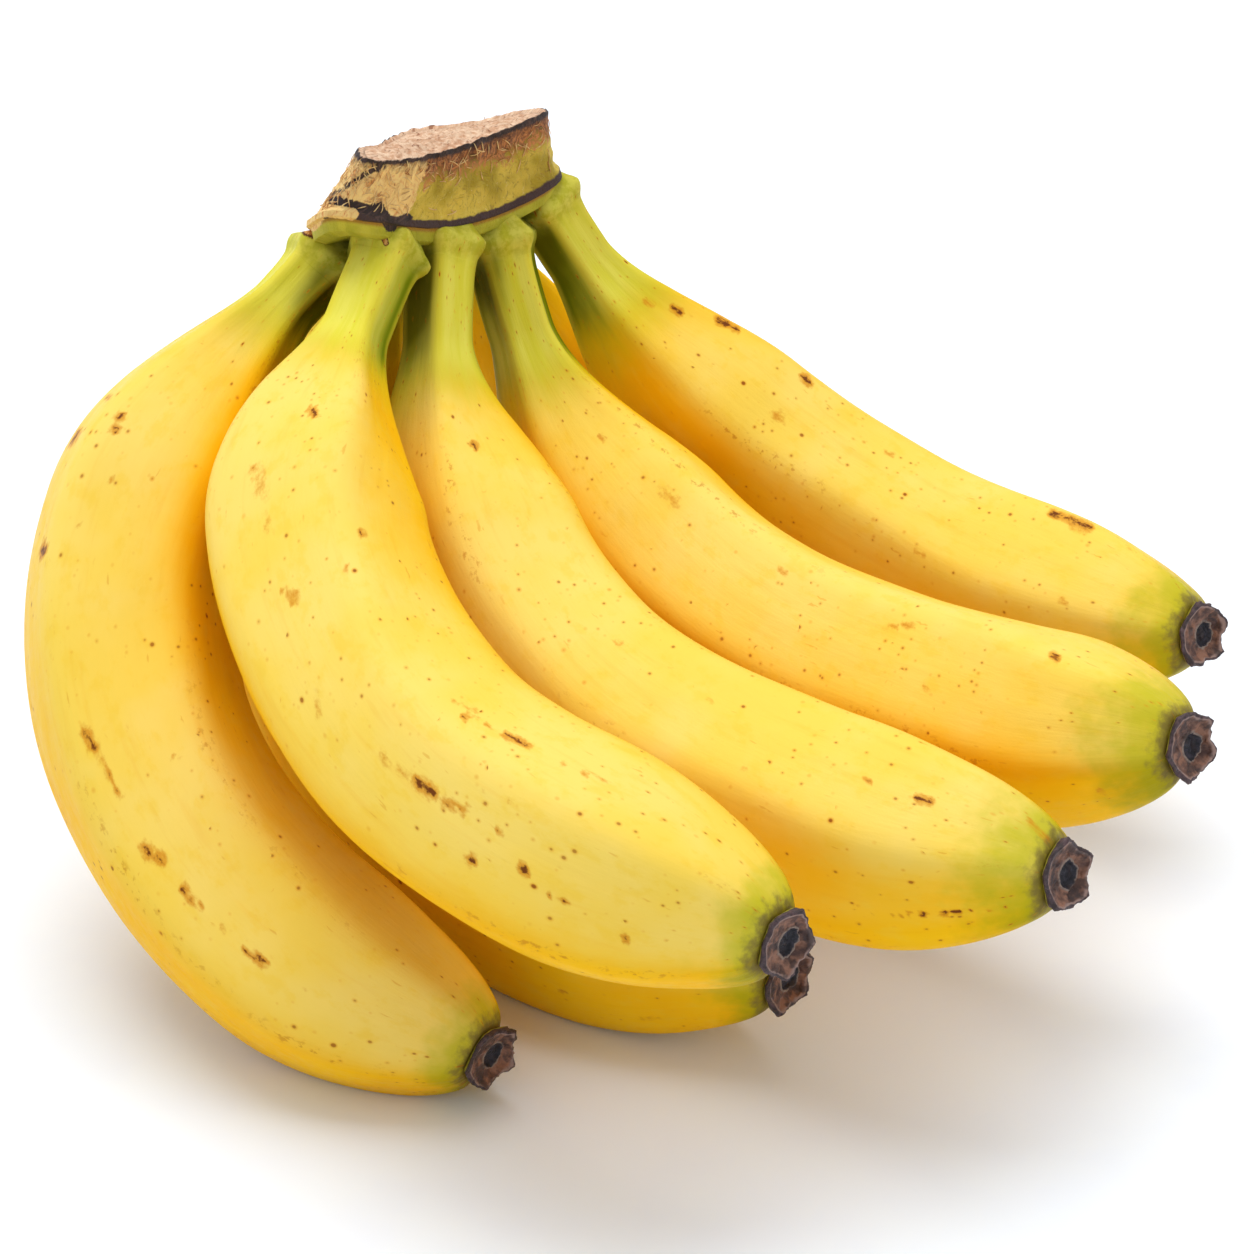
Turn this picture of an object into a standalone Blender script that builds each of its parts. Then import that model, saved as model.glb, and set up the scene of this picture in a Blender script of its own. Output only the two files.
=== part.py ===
"""A bunch of seven bananas resting on its lower fingers, crown up."""
import math

import bpy
import numpy as np
from mathutils import Vector

MM = 0.001

# Sizes shared by every finger, in millimetres
PIECE_GAP = 0.3
NECK_RADIUS = 6.3
NECK_FLARE = 1.5
NECK_FLARE_LENGTH = 9.0
SHOULDER_START = 0.5
SHOULDER_LENGTH = 50.0
SHOULDER_CURVE = 1.5
END_RADIUS = 5.8
END_TAPER_LENGTH = 42.0
END_ROUNDNESS = 0.62
RIDGE_COUNT = 5
RIDGE_HEIGHT = 0.085
RIDGE_WIDTH = 1.5
RIDGE_BALANCE = 0.42

# Middle of the bunch seen from above, moved onto the origin
BUNCH_MIDDLE = Vector((1.5, -32.1, 0.0))

# Ridges are counted round a finger from the side that faces forward and up
RIDGE_SIDE = Vector((0.0, -0.87, 0.5))

# Resolution of the meshes
FINGER_SIDES = 28
FINGER_RINGS = 30
RING_CROWDING = 0.09
ROUTE_SAMPLES = 400
BLOSSOM_SIDES = 20
CROWN_SIDES = 40
ROOT_SIDES = 20

# Dried blossom end, in millimetres
BLOSSOM_LENGTH = 3.8
BLOSSOM_RADIUS = 6.3
BLOSSOM_LOBES = 5
BLOSSOM_LOBE_HEIGHT = 0.07
BLOSSOM_PROFILE = [
    (0.0, 0.90),
    (1.0, 0.98),
    (2.8, 1.05),
    (3.7, 0.99),
    (3.6, 0.88),
    (2.6, 0.68),
    (2.1, 0.48),
    (1.2, 0.28),
]

# One entry for each finger: the middle line from the crown to the blossom face,
# the direction the blossom faces, the belly radius, the neck length and the
# angle of the first ridge in degrees
FINGERS = {
    "banana_front_1": {
        "route": [(-58, 20, 113), (-77, 2, 97), (-92, -22, 76), (-92, -47, 53),
                  (-77, -71, 32.6), (-52, -89, 18.1), (-23, -104, 10.5)],
        "faces": (0.80, -0.56, -0.20),
        "radius": 19.6,
        "neck": 25,
        "ridge": 36,
    },
    "banana_front_2": {
        "route": [(-46, 15, 117), (-54, -12, 105), (-58, -44, 91), (-49, -75, 79),
                  (-30, -103, 70), (-2, -124, 65), (28, -141, 61)],
        "faces": (0.76, -0.64, -0.04),
        "radius": 20.0,
        "neck": 44,
        "ridge": -21,
    },
    "banana_front_3": {
        "route": [(-36, 26, 114), (-36, 3, 91), (-27, -24, 71), (-8, -52, 58),
                  (18, -77, 54), (47, -99, 55), (77, -118, 60)],
        "faces": (0.82, -0.56, 0.12),
        "radius": 19.4,
        "neck": 43,
        "ridge": 2,
    },
    "banana_front_4": {
        "route": [(-26, 37, 110), (-17, 24, 84), (1, 5, 63), (24, -18, 53),
                  (50, -40, 52), (76, -63, 57), (102, -84, 65)],
        "faces": (0.80, -0.58, 0.14),
        "radius": 18.9,
        "neck": 40,
        "ridge": 25,
    },
    "banana_front_5": {
        "route": [(-18, 48, 114), (-4, 48, 91), (16, 43, 69), (40, 32, 54),
                  (65, 17, 46), (90, -1, 46), (113, -20, 51)],
        "faces": (0.79, -0.58, 0.18),
        "radius": 18.3,
        "neck": 32,
        "ridge": 3,
    },
    "banana_back_1": {
        "route": [(-46, 37, 112), (-55, 22, 86), (-61, 0, 56), (-52, -27, 32),
                  (-29, -50, 18.6), (1, -72, 17.5), (31, -92, 19.5)],
        "faces": (0.83, -0.50, -0.12),
        "radius": 18.2,
        "neck": 21,
        "ridge": 20,
    },
    "banana_back_2": {
        "route": [(-36, 52, 108), (-29, 62, 88), (-18, 64, 58), (-3, 51, 25),
                  (20, 27, 17.7), (43, -2, 18), (70, -26, 23)],
        "faces": (0.80, -0.52, 0.24),
        "radius": 18.4,
        "neck": 20,
        "ridge": 0,
    },
}

# Crown outline loops in millimetres, walked round from the front left corner
CROWN_RIM_BELOW = [(-56, 2, 130), (-47, 6, 127), (-36, 19, 120), (-24, 33, 117),
                   (-13, 45, 119), (-22, 60, 118), (-38, 60, 114), (-56, 48, 115),
                   (-61, 26, 117), (-61, 11, 124)]
CROWN_RIM_ABOVE = [(-49, 5, 140), (-42, 12, 137), (-34, 21, 135), (-25, 32, 134),
                   (-16, 42, 134), (-20, 53, 130), (-31, 54, 127), (-43, 45, 129),
                   (-48, 28, 133), (-51, 15, 138)]

# Neck roots under the crown, in millimetres along each middle line
ROOT_END = 5.0
ROOT_DEPTH = 8.0
ROOT_TOP_RADIUS = 4.5

# Colours: name, base colour, roughness
COLOURS = {
    "banana": ((0.93, 0.64, 0.06), 0.42),
    "blossom": ((0.055, 0.035, 0.030), 0.85),
    "crown": ((0.36, 0.30, 0.09), 0.75),
}


def clear_scene():
    for item in list(bpy.data.objects):
        bpy.data.objects.remove(item, do_unlink=True)


def make_material(name, colour, roughness):
    material = bpy.data.materials.new(name)
    material.use_nodes = True
    shader = material.node_tree.nodes["Principled BSDF"]
    shader.inputs["Base Color"].default_value = (*colour, 1.0)
    shader.inputs["Roughness"].default_value = roughness
    shader.inputs["Metallic"].default_value = 0.0
    material.diffuse_color = (*colour, 1.0)
    return material


def make_object(name, vertices, faces, colour_key):
    mesh = bpy.data.meshes.new(name)
    mesh.from_pydata([(v - BUNCH_MIDDLE) * MM for v in vertices], [], faces)
    mesh.update()
    colour, roughness = COLOURS[colour_key]
    mesh.materials.append(make_material(name + "_skin", colour, roughness))
    mesh.shade_smooth()
    item = bpy.data.objects.new(name, mesh)
    bpy.context.scene.collection.objects.link(item)
    return item


def rings_to_faces(ring_count, sides):
    """Faces of a closed tube whose first and last rings are capped."""
    faces = []
    for ring in range(ring_count - 1):
        for side in range(sides):
            after = (side + 1) % sides
            low = ring * sides
            high = low + sides
            faces.append((low + side, low + after, high + after, high + side))
    faces.append(tuple(reversed(range(sides))))
    last = (ring_count - 1) * sides
    faces.append(tuple(range(last, last + sides)))
    return faces


def route_slopes(points, steps, end_direction):
    """Slopes that join the route's points with an even bend."""
    count = len(points)
    system = np.zeros((count, count))
    wanted = np.zeros((count, 3))
    system[0, 0] = 2.0
    system[0, 1] = 1.0
    wanted[0] = 3.0 * (points[1] - points[0]) / steps[0]
    for i in range(1, count - 1):
        before = steps[i - 1]
        after = steps[i]
        system[i, i - 1] = after
        system[i, i] = 2.0 * (before + after)
        system[i, i + 1] = before
        rise_before = (points[i] - points[i - 1]) * after / before
        rise_after = (points[i + 1] - points[i]) * before / after
        wanted[i] = 3.0 * (rise_before + rise_after)
    system[-1, -1] = 1.0
    wanted[-1] = end_direction
    return np.linalg.solve(system, wanted)


def smooth_route(route, faces):
    """Points and directions along the middle line, and the length at each."""
    points = np.array(route, dtype=float)
    steps = np.linalg.norm(np.diff(points, axis=0), axis=1)
    end_direction = np.array(Vector(faces).normalized())
    slopes = route_slopes(points, steps, end_direction)
    places = []
    for i, step in enumerate(steps):
        for t in np.linspace(0.0, 1.0, ROUTE_SAMPLES // len(steps), endpoint=False):
            start = (1 + 2 * t) * (1 - t) ** 2 * points[i]
            start = start + t * (1 - t) ** 2 * step * slopes[i]
            end = t * t * (3 - 2 * t) * points[i + 1]
            end = end + t * t * (t - 1) * step * slopes[i + 1]
            places.append(start + end)
    places.append(points[-1])
    places = np.array(places)
    directions = np.gradient(places, axis=0)
    directions[-1] = end_direction
    directions /= np.linalg.norm(directions, axis=1)[:, None]
    pieces = np.linalg.norm(np.diff(places, axis=0), axis=1)
    lengths = np.concatenate([[0.0], np.cumsum(pieces)])
    return places, directions, lengths


def place_at(line, length):
    places, directions, lengths = line
    centre = Vector([np.interp(length, lengths, places[:, i]) for i in range(3)])
    along = Vector([np.interp(length, lengths, directions[:, i]) for i in range(3)])
    return centre, along.normalized()


def cross_directions(along):
    """Two directions across a finger, the first on its ridge side."""
    across = RIDGE_SIDE - along * RIDGE_SIDE.dot(along)
    across.normalize()
    return across, along.cross(across)


def ease(value):
    return min(max(value, 0.0), 1.0)


def finger_radius(finger, length, total):
    """Mean radius: flared neck, shoulder, even belly and rounded end."""
    flare = NECK_FLARE * (1.0 - ease(length / NECK_FLARE_LENGTH)) ** 2
    rise = ease((length - finger["neck"] * SHOULDER_START) / SHOULDER_LENGTH)
    shoulder = math.sin(rise * math.pi / 2) ** SHOULDER_CURVE
    radius = NECK_RADIUS + flare + (finger["radius"] - NECK_RADIUS) * shoulder
    fall = ease((total - length) / END_TAPER_LENGTH)
    rounding = math.sin(fall * math.pi / 2) ** END_ROUNDNESS
    return END_RADIUS + (radius - END_RADIUS) * rounding


def ridge_shape(angle, first_ridge):
    wave = (1.0 + math.cos(RIDGE_COUNT * (angle - first_ridge))) / 2.0
    return 1.0 + RIDGE_HEIGHT * (wave ** RIDGE_WIDTH - RIDGE_BALANCE)


def ring_around(centre, along, radius, first_ridge, sides):
    across, side = cross_directions(along)
    ring = []
    for i in range(sides):
        angle = 2 * math.pi * i / sides
        reach = radius * ridge_shape(angle, first_ridge)
        ring.append(centre + (across * math.cos(angle) + side * math.sin(angle)) * reach)
    return ring


def ring_places(start, end, rings):
    """Ring positions along a finger, closer together at both ends."""
    places = []
    for i in range(rings):
        t = i / (rings - 1)
        spread = t - RING_CROWDING * math.sin(2 * math.pi * t)
        places.append(start + (end - start) * spread)
    return places


def finger_line(finger):
    line = smooth_route(finger["route"], finger["faces"])
    body_length = line[2][-1] - BLOSSOM_LENGTH - PIECE_GAP
    return line, body_length


def make_banana(name, finger):
    line, body_length = finger_line(finger)
    first_ridge = math.radians(finger["ridge"])
    vertices = []
    for length in ring_places(ROOT_END, body_length, FINGER_RINGS):
        centre, along = place_at(line, length)
        radius = finger_radius(finger, length, body_length)
        vertices += ring_around(centre, along, radius, first_ridge, FINGER_SIDES)
    for spot in vertices:
        spot.z = max(spot.z, 0.0)
    faces = rings_to_faces(FINGER_RINGS, FINGER_SIDES)
    return make_object(name, vertices, faces, "banana")


def make_blossom_end(name, finger):
    line, body_length = finger_line(finger)
    centre, along = place_at(line, body_length + PIECE_GAP)
    across, side = cross_directions(along)
    first_ridge = math.radians(finger["ridge"])
    vertices = []
    for height, share in BLOSSOM_PROFILE:
        for i in range(BLOSSOM_SIDES):
            angle = 2 * math.pi * i / BLOSSOM_SIDES
            wave = math.cos(BLOSSOM_LOBES * (angle - first_ridge))
            reach = BLOSSOM_RADIUS * share * (1.0 + BLOSSOM_LOBE_HEIGHT * wave)
            spot = centre + along * height
            spot += (across * math.cos(angle) + side * math.sin(angle)) * reach
            vertices.append(spot)
    faces = rings_to_faces(len(BLOSSOM_PROFILE), BLOSSOM_SIDES)
    return make_object(name, vertices, faces, "blossom")


def closed_loop(points, count):
    """Even points on a rounded loop through the given corners."""
    corners = [Vector(p) for p in points]
    size = len(corners)
    loop = []
    for i in range(count):
        place = i * size / count
        k = int(place)
        t = place - k
        p0, p1, p2, p3 = (corners[(k + j - 1) % size] for j in range(4))
        spot = 2 * p1 + (p2 - p0) * t
        spot += (2 * p0 - 5 * p1 + 4 * p2 - p3) * t * t
        spot += (3 * p1 - p0 - 3 * p2 + p3) * t * t * t
        loop.append(spot / 2)
    return loop


def scaled_loop(loop, share, rise):
    middle = sum(loop, Vector()) / len(loop)
    return [middle + (p - middle) * share + Vector((0, 0, rise)) for p in loop]


def blend_loops(low, high, place, share):
    between = [a.lerp(b, place) for a, b in zip(low, high)]
    return scaled_loop(between, share, 0.0)


def make_crown_block():
    """Body of the crown: underside, lower rim, waist, upper rim, cut face."""
    low = closed_loop(CROWN_RIM_BELOW, CROWN_SIDES)
    high = closed_loop(CROWN_RIM_ABOVE, CROWN_SIDES)
    levels = [
        scaled_loop(low, 0.10, -4.0),
        scaled_loop(low, 0.50, -3.8),
        scaled_loop(low, 0.82, -3.0),
        scaled_loop(low, 0.97, -1.6),
        low,
        blend_loops(low, high, 0.14, 0.965),
        blend_loops(low, high, 0.50, 0.975),
        blend_loops(low, high, 0.86, 0.98),
        high,
        scaled_loop(high, 0.93, -0.4),
        scaled_loop(high, 0.50, -0.5),
        scaled_loop(high, 0.10, -0.5),
    ]
    vertices = [spot for level in levels for spot in level]
    faces = rings_to_faces(len(levels), CROWN_SIDES)
    return make_object("crown", vertices, faces, "crown")


def make_neck_root(name, finger):
    """Root of a neck, from inside the crown to one gap before the banana."""
    line, body_length = finger_line(finger)
    first_ridge = math.radians(finger["ridge"])
    top, along = place_at(line, 0.0)
    vertices = ring_around(top - along * ROOT_DEPTH, along, ROOT_TOP_RADIUS, first_ridge, ROOT_SIDES)
    for length in (0.0, ROOT_END / 2, ROOT_END - PIECE_GAP):
        centre, along = place_at(line, length)
        radius = finger_radius(finger, length, body_length)
        vertices += ring_around(centre, along, radius, first_ridge, ROOT_SIDES)
    return make_object(name, vertices, rings_to_faces(4, ROOT_SIDES), "crown")


def join_to(body, tool):
    modifier = body.modifiers.new(tool.name, "BOOLEAN")
    modifier.operation = "UNION"
    modifier.solver = "EXACT"
    modifier.object = tool
    tool.hide_render = True
    tool.display_type = "WIRE"


def main():
    clear_scene()
    crown = make_crown_block()
    for name, finger in FINGERS.items():
        make_banana(name, finger)
        make_blossom_end(name.replace("banana", "blossom_end"), finger)
        join_to(crown, make_neck_root(name.replace("banana", "neck_root"), finger))


main()
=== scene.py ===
import math

import bpy
import numpy as np
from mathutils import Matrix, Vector, noise


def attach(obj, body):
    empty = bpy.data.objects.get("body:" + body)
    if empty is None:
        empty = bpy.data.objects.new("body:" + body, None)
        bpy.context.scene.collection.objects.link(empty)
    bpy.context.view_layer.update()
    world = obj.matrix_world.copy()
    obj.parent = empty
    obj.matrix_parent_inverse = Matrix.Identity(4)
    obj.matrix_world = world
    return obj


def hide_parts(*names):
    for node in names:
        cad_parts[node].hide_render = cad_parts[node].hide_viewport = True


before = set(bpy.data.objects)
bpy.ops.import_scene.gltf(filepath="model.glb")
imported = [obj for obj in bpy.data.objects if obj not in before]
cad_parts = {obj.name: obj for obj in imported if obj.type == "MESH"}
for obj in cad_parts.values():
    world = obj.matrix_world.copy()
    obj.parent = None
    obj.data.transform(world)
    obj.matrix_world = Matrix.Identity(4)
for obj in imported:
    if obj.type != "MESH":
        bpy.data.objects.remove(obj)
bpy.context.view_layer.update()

MM = 0.001

# Camera: sizes in millimetres, angles in degrees
PHOTO_WIDTH = 1254
CAMERA_AIM = Vector((-1.5, 32.1, 41.4))
CAMERA_DISTANCE = 800.0
CAMERA_HEIGHT_ANGLE = 30.0
CAMERA_LENS = 115.4
SENSOR_WIDTH = 36.0

# Light: directions point from the bunch to the light
KEY_FROM = (-0.10, 0.27, 1.0)
KEY_SPREAD = 48.0
KEY_STRENGTH = 2.0
SIDE_FROM = (0.95, 0.35, 0.75)
SIDE_SPREAD = 70.0
SIDE_STRENGTH = 0.65
WORLD_BRIGHT_SIDE = (-0.7, -0.2, 0.7)
WORLD_DIM = 0.0
WORLD_BRIGHT = 0.86
WORLD_COLOUR = (0.92, 0.97, 1.04, 1.0)
KEY_COLOUR = (1.0, 0.995, 0.985)
SIDE_COLOUR = (1.0, 1.0, 1.0)

# Pale floor: half its width in millimetres, and how many grid lines it has
FLOOR_HALF = 40000.0
FLOOR_LINES = 25

# Sizes shared by every finger, in millimetres, as in the part's source
BUNCH_MIDDLE = np.array([1.5, -32.1, 0.0])
NECK_RADIUS = 6.3
NECK_FLARE = 1.5
NECK_FLARE_LENGTH = 9.0
ROOT_END = 5.0
ROOT_DEPTH = 8.0
PIECE_GAP = 0.3
SHOULDER_START = 0.5
SHOULDER_LENGTH = 50.0
SHOULDER_CURVE = 1.5
END_RADIUS = 5.8
END_TAPER_LENGTH = 42.0
END_ROUNDNESS = 0.62
RIDGE_COUNT = 5
RIDGE_HEIGHT = 0.085
RIDGE_WIDTH = 1.5
RIDGE_BALANCE = 0.42
CREST_HEIGHT = 0.020
CREST_BALANCE = 0.3
# Painted light: how far the painted paleness keeps steady across a facet and turns quickly over a ridge
FACET_PULL = 0.18
NECK_RIDGES = 0.9
NECK_FACET_PULL = 0.02
NECK_FADE = 16.0
RIDGE_SIDE = np.array([0.0, -0.87, 0.5])
RIDGE_WANDER_SLOW = 0.05
RIDGE_WANDER_QUICK = 0.03
RELIEF_SLOW = 0.22
RELIEF_QUICK = 0.10
# Direction of the light for the painted light: skin turned towards it is painted paler
PAINTED_LIGHT_SIDE = np.array([-0.27, -0.35, 0.90])
BLOSSOM_LENGTH = 3.8
BLOSSOM_RADIUS = 6.3

# Painted shade: deeper colour where other fingers close in and would shade the skin: every so many
# samples along a finger, reach in millimetres, how much it takes from the painted lit side, and how it
# falls as the skin turns away from the other finger
SHELTER_STRIDE = 12
SHELTER_REACH = 17.0
SHELTER_SHARE = 0.6
SHELTER_SPREAD = 1.2
SHELTER_SIDEWAYS = 0.17

# Millimetres between the skin patterns of two fingers, so that no two look alike
PATTERN_SPACING = 400.0

# Resolution of the finished skin
SIDES = 120
RINGS = 240
RING_CROWDING = 0.06
ROUTE_SAMPLES = 420

# Route of the middle line, facing direction of the blossom end, belly radius, neck
# length, first ridge angle, and the lengths of skin still green at the neck and the tip
FINGERS = {
    "banana_front_1": ([(-58, 20, 113), (-77, 2, 97), (-92, -22, 76), (-92, -47, 53),
                        (-77, -71, 32.6), (-52, -89, 18.1), (-23, -104, 10.5)],
                       (0.80, -0.56, -0.20), 19.6, 25, 36, 19, 9),
    "banana_front_2": ([(-46, 15, 117), (-54, -12, 105), (-58, -44, 91), (-49, -75, 79),
                        (-30, -103, 70), (-2, -124, 65), (28, -141, 61)],
                       (0.76, -0.64, -0.04), 20.0, 44, -21, 31, 10),
    "banana_front_3": ([(-36, 26, 114), (-36, 3, 91), (-27, -24, 71), (-8, -52, 58),
                        (18, -77, 54), (47, -99, 55), (77, -118, 60)],
                       (0.82, -0.56, 0.12), 19.4, 43, 2, 31, 15),
    "banana_front_4": ([(-26, 37, 110), (-17, 24, 84), (1, 5, 63), (24, -18, 53),
                        (50, -40, 52), (76, -63, 57), (102, -84, 65)],
                       (0.80, -0.58, 0.14), 18.9, 40, 25, 30, 16),
    "banana_front_5": ([(-18, 48, 114), (-4, 48, 91), (16, 43, 69), (40, 32, 54),
                        (65, 17, 46), (90, -1, 46), (113, -20, 51)],
                       (0.79, -0.58, 0.18), 18.3, 32, 3, 29, 13),
    "banana_back_1": ([(-46, 37, 112), (-55, 22, 86), (-61, 0, 56), (-52, -27, 32),
                       (-29, -50, 18.6), (1, -72, 17.5), (31, -92, 19.5)],
                      (0.83, -0.50, -0.12), 18.2, 21, 20, 17, 10),
    "banana_back_2": ([(-36, 52, 108), (-29, 62, 88), (-18, 64, 58), (-3, 51, 25),
                       (20, 27, 17.7), (43, -2, 18), (70, -26, 23)],
                      (0.80, -0.52, 0.24), 18.4, 20, 0, 17, 10),
}

# A painted mark fades out where the skin turns away from the camera: the facing
# at which it ends, over how much more facing it comes to full strength, and how many
# widths from its stroke it ends
MARK_EDGE = 0.05
MARK_FADE = 0.30
MARK_FULL = 1.4

# Bruises read from the photograph: start and end pixel, width in pixels, strength
BRUISES = {
    "banana_front_1": [
        (68, 444, 77, 430, 5, 1.0), (115, 431, 116, 428, 5, 0.9), (119, 418, 120, 416, 5, 1.0),
        (107, 399, 110, 396, 2.5, 0.8), (110, 481, 114, 477, 2.5, 0.6), (79, 525, 81, 522, 2.5, 0.7),
        (42, 555, 45, 545, 4, 1.0), (184, 457, 186, 453, 2, 0.7), (84, 731, 94, 748, 6, 1.0),
        (96, 752, 104, 762, 5, 0.5), (107, 772, 112, 782, 4, 0.8), (115, 788, 122, 797, 3, 0.6),
        (145, 847, 149, 855, 6, 1.0), (157, 855, 162, 861, 6, 1.0), (183, 888, 188, 895, 5, 0.9),
        (191, 900, 200, 907, 4, 0.7), (243, 950, 250, 955, 4, 0.7), (254, 957, 265, 963, 5, 1.0),
        (174, 755, 177, 757, 3, 0.8), (222, 926, 228, 931, 3, 0.6), (300, 990, 306, 993, 2.5, 0.6)],
    "banana_front_2": [
        (311, 410, 314, 414, 5, 1.0), (256, 470, 262, 492, 10, 0.4), (266, 515, 269, 532, 6, 0.35),
        (284, 591, 297, 594, 4, 0.8), (288, 600, 295, 602, 4, 0.7), (316, 690, 319, 716, 4, 0.35),
        (361, 531, 363, 534, 4, 0.9), (346, 567, 348, 569, 3, 0.7), (418, 783, 432, 793, 7, 1.0),
        (444, 802, 456, 806, 6, 0.8), (463, 812, 467, 806, 5, 0.7), (382, 755, 386, 761, 5, 0.5),
        (398, 768, 412, 778, 8, 0.35), (505, 735, 513, 739, 4, 1.0), (516, 740, 525, 744, 4.5, 1.0),
        (464, 717, 467, 718, 4, 0.9), (472, 715, 477, 718, 2.5, 0.7), (486, 725, 492, 728, 2.5, 0.6),
        (529, 745, 531, 747, 3, 0.8), (470, 859, 473, 862, 6, 1.0), (522, 866, 525, 872, 5.5, 1.0),
        (498, 830, 499, 833, 3.5, 0.9), (549, 893, 549, 895, 3, 1.0), (563, 901, 565, 902, 4.5, 1.0),
        (511, 800, 512, 801, 3, 0.8), (584, 773, 588, 775, 2.5, 0.8), (561, 763, 564, 765, 3, 0.5),
        (480, 794, 481, 793, 2.5, 0.7), (522, 929, 524, 930, 2.5, 0.8), (624, 936, 627, 940, 4, 0.9),
        (478, 712, 452, 700, 3, 0.4), (576, 768, 612, 784, 2, 0.35)],
    "banana_front_3": [
        (473, 443, 476, 448, 4, 0.9), (918, 798, 931, 802, 5, 1.0), (866, 779, 869, 781, 4, 0.9),
        (740, 768, 744, 769, 3, 0.7), (873, 912, 874, 912, 2, 0.8), (894, 914, 895, 914, 2, 0.9),
        (901, 915, 902, 915, 1.6, 0.8), (909, 914, 910, 914, 2.4, 1.1), (922, 914, 925, 914, 3, 1.2),
        (937, 914, 938, 914, 2, 0.9), (944, 913, 947, 913, 2.8, 1.2), (953, 912, 959, 912, 2.8, 1.2),
        (970, 910, 971, 910, 1.8, 0.9), (989, 910, 990, 911, 2, 0.9), (1005, 907, 1006, 907, 2, 0.9),
        (1028, 820, 1050, 842, 4, 0.5),
        (615, 640, 622, 644, 3, 0.5), (705, 700, 712, 703, 3, 0.5)],
    "banana_front_4": [
        (664, 492, 676, 502, 9, 0.35), (1052, 655, 1057, 658, 4.5, 1.0), (903, 625, 913, 626, 3.5, 0.7),
        (886, 627, 896, 628, 3, 0.6), (923, 687, 931, 692, 3, 0.5), (780, 570, 786, 573, 3, 0.6),
        (600, 436, 604, 440, 3, 0.6), (1098, 790, 1104, 793, 3, 0.6)],
    "banana_front_5": [
        (674, 308, 680, 312, 5, 0.9), (718, 320, 726, 324, 5, 1.0), (730, 326, 737, 330, 4, 0.9),
        (803, 377, 809, 383, 5, 1.0), (776, 414, 782, 419, 7, 0.5), (1052, 513, 1066, 518, 5, 0.9),
        (1070, 519, 1090, 527, 5.5, 0.9), (1072, 528, 1086, 531, 4, 0.6),
        (916, 552, 923, 554, 3.5, 0.6), (645, 301, 653, 305, 4, 0.5), (886, 452, 893, 455, 3, 0.6),
        (1060, 600, 1066, 603, 4, 0.5)],
    "banana_back_1": [(640, 1018, 660, 1018, 2.5, 0.5), (560, 990, 564, 992, 3, 0.6)],
}

# Dried marks of the crown read from the photograph, in the same form
CROWN_BURNS = [(392, 155, 376, 168, 6, 0.9), (376, 168, 350, 184, 4, 0.8),
               (350, 184, 326, 199, 4, 0.7), (332, 200, 376, 212, 6, 1.2),
               (378, 208, 391, 226, 7, 1.2), (391, 226, 408, 217, 5, 1.1),
               (336, 190, 374, 166, 11, 0.42), (380, 160, 402, 163, 6, 0.5)]
CROWN_DRIED = [(330, 200, 372, 160, 24, 1.0), (352, 200, 388, 165, 26, 1.0),
               (378, 200, 408, 160, 22, 1.0), (395, 210, 410, 170, 16, 1.0)]
CROWN_HUSK = [(320, 207, 311, 222, 9, 1.2), (326, 210, 352, 214, 6, 1.2)]
NECK_HUSKS = {
    "banana_front_1": [(318, 205, 312, 226, 13, 1.0), (330, 208, 322, 226, 10, 1.0),
                       (340, 206, 350, 204, 7, 0.9)],
    "banana_front_2": [(372, 208, 380, 228, 3.5, 0.9), (380, 228, 386, 243, 3.5, 0.9)],
}

# Crown outline loops in millimetres, as in the part's source
CROWN_RIM_BELOW = [(-56, 2, 130), (-47, 6, 127), (-36, 19, 120), (-24, 33, 117),
                   (-13, 45, 119), (-22, 60, 118), (-38, 60, 114), (-56, 48, 115),
                   (-61, 26, 117), (-61, 11, 124)]
CROWN_RIM_ABOVE = [(-49, 5, 140), (-42, 12, 137), (-34, 21, 135), (-25, 32, 134),
                   (-16, 42, 134), (-20, 53, 130), (-31, 54, 127), (-43, 45, 129),
                   (-48, 28, 133), (-51, 15, 138)]

# Rows of the crown: height, 0 at the lower rim and 1 at the upper one, share of the rim's
# width, and rise above the rim in millimetres
CROWN_SKIRT = [(-0.9, 0.10, -5.5), (-0.7, 0.50, -5.5), (-0.5, 0.84, -5.0), (-0.3, 0.945, -3.6),
               (-0.15, 0.955, -1.8), (-0.08, 0.965, -0.9), (0.0, 1.0, -0.3), (0.05, 0.99, 0.9)]
CROWN_WALL = [(0.14, 0.965), (0.32, 0.968), (0.5, 0.972), (0.68, 0.974), (0.86, 0.98),
              (0.95, 0.995)]
CROWN_FACE = [(1.0, 1.0, 0.0), (1.03, 0.985, 0.1), (1.10, 0.94, -0.5), (1.3, 0.75, -0.6),
              (1.5, 0.50, -0.5), (1.7, 0.25, -0.5), (1.9, 0.05, -0.5)]
CROWN_SIDES = 220
CROWN_STEPS = 9
WALL_AROUND = 165.0
WALL_RADIUS = 26.0
WALL_FIBRE_RELIEF = 0.35
WALL_COARSE_RELIEF = 0.45
FACE_GRAIN_RELIEF = 0.45
FACE_COARSE_RELIEF = 0.5
FACE_START = 1.1
RIM_UNEVENNESS = 0.5
FIBRE_COUNT = 300
FIBRE_SEED = 11
FIBRE_SIDES = 5
FIBRE_RINGS = 8
FIBRE_RADIUS = 0.10
FIBRE_LENGTHS = (1.2, 3.6)
FIBRE_BEND = 1.8
FIBRE_LIFT = 0.22
FIBRE_HEIGHTS = (0.12, 0.88)
FIBRE_FEW = 0.35
FIBRE_MANY = 2.0
FIBRE_MANY_FROM = 0.6
COLLAR_HEIGHT = 0.8
ROOT_NARROWING = 0.42
ROOT_TUCK = 0.8
ROOT_TUCK_DEPTH = 0.04
ROOT_TAPER = 5.0
ROOT_RINGS = 30

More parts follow.
